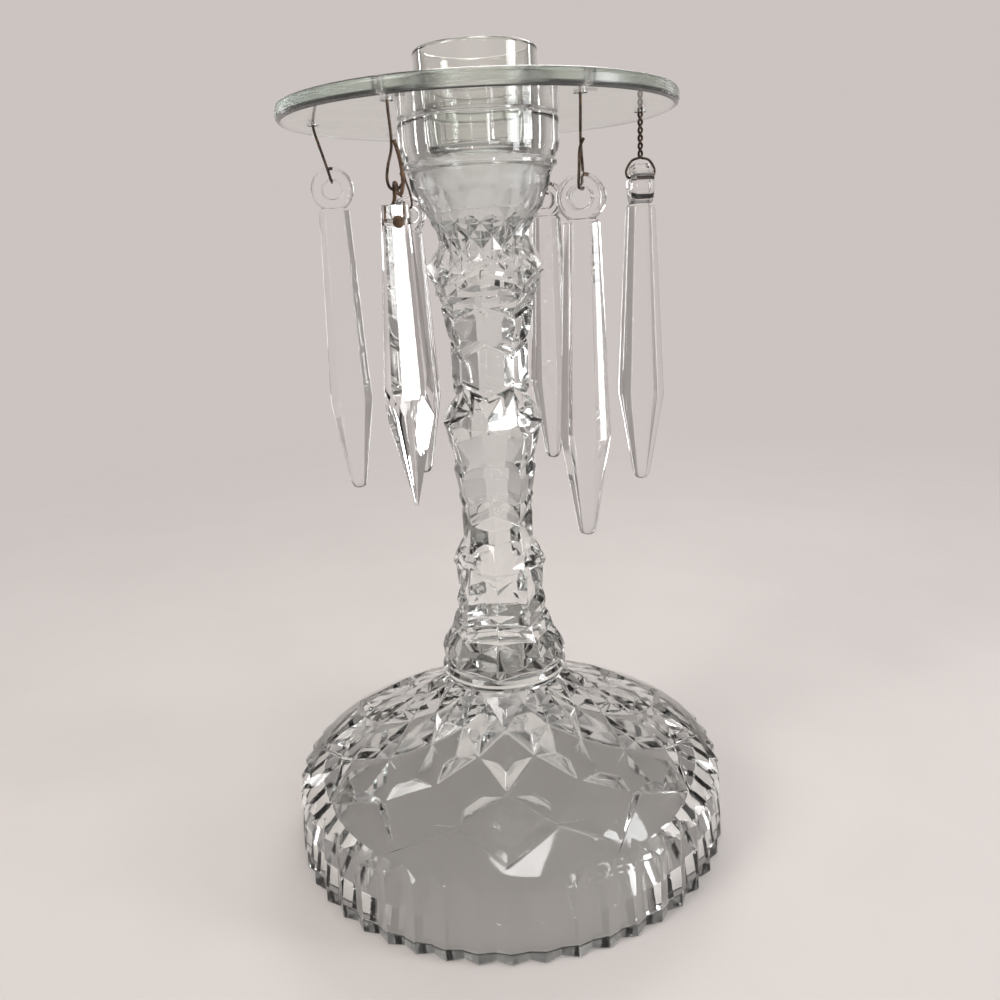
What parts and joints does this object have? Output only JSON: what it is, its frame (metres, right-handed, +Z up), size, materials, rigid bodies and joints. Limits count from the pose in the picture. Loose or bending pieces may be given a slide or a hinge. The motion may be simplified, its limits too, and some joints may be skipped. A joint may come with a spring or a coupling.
{
  "type": "candlestick",
  "caption": "Clear pressed-glass candlestick with a fluted domed foot, a faceted stem and a lift-off drip dish hung with glass prisms on wires.",
  "frame": {"origin": "centre of the foot on the table, under the axis of the stick", "axes": "+Z up along the stick, -Y towards the front of the picture, +X to its right"},
  "size_m": [0.1304, 0.1304, 0.2219],
  "materials": {
    "stick_glass": "clear pressed glass, fire polished",
    "dish_glass": "clear pressed glass with a faint green tint",
    "prism_glass": "clear cut glass, polished facets",
    "wire_iron": "dark tarnished wire",
    "pin_brass": "dull brown tarnish"
  },
  "bodies": {
    "stick": {"candlestick": "stick_glass"},
    "dish": {"drip_dish": "dish_glass"},
    "hanger_left": {"wire_left": "wire_iron"},
    "drop_left": {"prism_left": "prism_glass"},
    "hanger_front_right": {"wire_front_right": "wire_iron"},
    "drop_front_right": {"prism_front_right": "prism_glass"},
    "hanger_right": {"wire_right": "wire_iron"},
    "drop_right": {"prism_right": "prism_glass"},
    "hanger_back_right": {"wire_back_right": "wire_iron"},
    "drop_back_right": {"prism_back_right": "prism_glass"},
    "hanger_back_left": {"wire_back_left": "wire_iron"},
    "drop_back_left": {"prism_back_left": "prism_glass"},
    "hanger_front_left": {"wire_front_left": "wire_iron"},
    "pin_front_left": {"pin_front_left": "pin_brass"},
    "drop_front_left": {"spear_front_left": "prism_glass"}
  },
  "joints": [
    {"name": "dish_lift", "type": "slide", "parent": "stick", "child": "dish", "axis": [0, 0, 1], "range_m": [0, 0.03]},
    {"name": "hanger_swing_left", "type": "hinge", "parent": "dish", "child": "hanger_left", "pos_m": [-0.04224, -0.00192, 0.20983], "axis": [-0.0454, 0.999, 0], "range_deg": [-8, 12]},
    {"name": "drop_swing_left", "type": "hinge", "parent": "hanger_left", "child": "drop_left", "pos_m": [-0.03864, -0.00176, 0.1919], "axis": [0.1392, -0.9903, 0], "range_deg": [-10, 10]},
    {"name": "hanger_swing_front_right", "type": "hinge", "parent": "dish", "child": "hanger_front_right", "pos_m": [0.02278, -0.03562, 0.20983], "axis": [-0.8425, -0.5388, 0], "range_deg": [-8, 12]},
    {"name": "drop_swing_front_right", "type": "hinge", "parent": "hanger_front_right", "child": "drop_front_right", "pos_m": [0.02256, -0.03528, 0.1857], "axis": [-0.2419, -0.9703, 0], "range_deg": [-10, 10]},
    {"name": "hanger_swing_right", "type": "hinge", "parent": "dish", "child": "hanger_right", "pos_m": [0.04224, 0.00192, 0.20983], "axis": [0.0454, -0.999, 0], "range_deg": [-7, 7]},
    {"name": "drop_swing_right", "type": "hinge", "parent": "hanger_right", "child": "drop_right", "pos_m": [0.04224, 0.00192, 0.1896], "axis": [1, 0, 0], "range_deg": [-10, 10]},
    {"name": "hanger_swing_back_right", "type": "hinge", "parent": "dish", "child": "hanger_back_right", "pos_m": [0.01946, 0.03754, 0.20983], "axis": [0.8878, -0.4602, 0], "range_deg": [-8, 12]},
    {"name": "drop_swing_back_right", "type": "hinge", "parent": "hanger_back_right", "child": "drop_back_right", "pos_m": [0.01946, 0.03754, 0.1884], "axis": [0.342, 0.9397, 0], "range_deg": [-10, 10]},
    {"name": "hanger_swing_back_left", "type": "hinge", "parent": "dish", "child": "hanger_back_left", "pos_m": [-0.02278, 0.03562, 0.20983], "axis": [0.8425, 0.5388, 0], "range_deg": [-8, 12]},
    {"name": "drop_swing_back_left", "type": "hinge", "parent": "hanger_back_left", "child": "drop_back_left", "pos_m": [-0.02278, 0.03562, 0.1859], "axis": [-0.5299, 0.848, 0], "range_deg": [-10, 10]},
    {"name": "hanger_swing_front_left", "type": "hinge", "parent": "dish", "child": "hanger_front_left", "pos_m": [-0.01946, -0.03754, 0.20983], "axis": [-0.8878, 0.4602, 0], "range_deg": [-8, 12]},
    {"name": "pin_swing_front_left", "type": "hinge", "parent": "hanger_front_left", "child": "pin_front_left", "pos_m": [-0.01946, -0.03754, 0.1872], "axis": [0.9703, 0.2419, 0], "range_deg": [-7, 7]},
    {"name": "drop_swing_front_left", "type": "hinge", "parent": "pin_front_left", "child": "drop_front_left", "pos_m": [-0.01946, -0.03754, 0.1803], "axis": [0.2419, -0.9703, 0], "range_deg": [-8, 8]}
  ]
}
